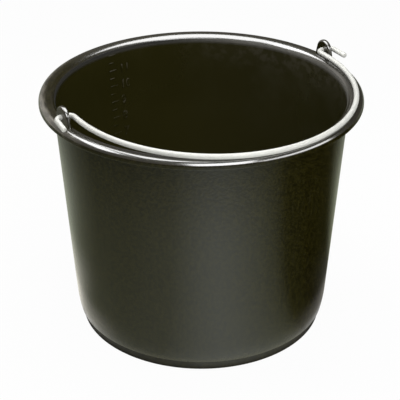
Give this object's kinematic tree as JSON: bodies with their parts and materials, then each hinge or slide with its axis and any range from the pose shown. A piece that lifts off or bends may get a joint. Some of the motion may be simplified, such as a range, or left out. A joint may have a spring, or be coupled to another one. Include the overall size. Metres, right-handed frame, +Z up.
{
  "type": "builders bucket",
  "caption": "Tapered round bucket with a rolled rim, a foot ring and moulded ears in which a bent wire bail handle swings.",
  "frame": {"origin": "centre of the base, on the surface that the foot ring stands on", "axes": "+Z up along the tub's axis, +X along the bail's pivot axis through the ear holes, bail folded to -Y"},
  "size_m": [0.3166, 0.31, 0.258],
  "materials": {
    "black_polyethylene": "satin moulded black with light scuffs",
    "galvanised_wire": "bright galvanised wire"
  },
  "bodies": {
    "tub": {"bucket_body": "black_polyethylene"},
    "bail": {"wire_bail": "galvanised_wire"}
  },
  "joints": [
    {"name": "bail_swing", "type": "hinge", "parent": "tub", "child": "bail", "pos_m": [0, 0, 0.248], "axis": [-1, 0, 0], "range_deg": [0, 184.3]}
  ]
}
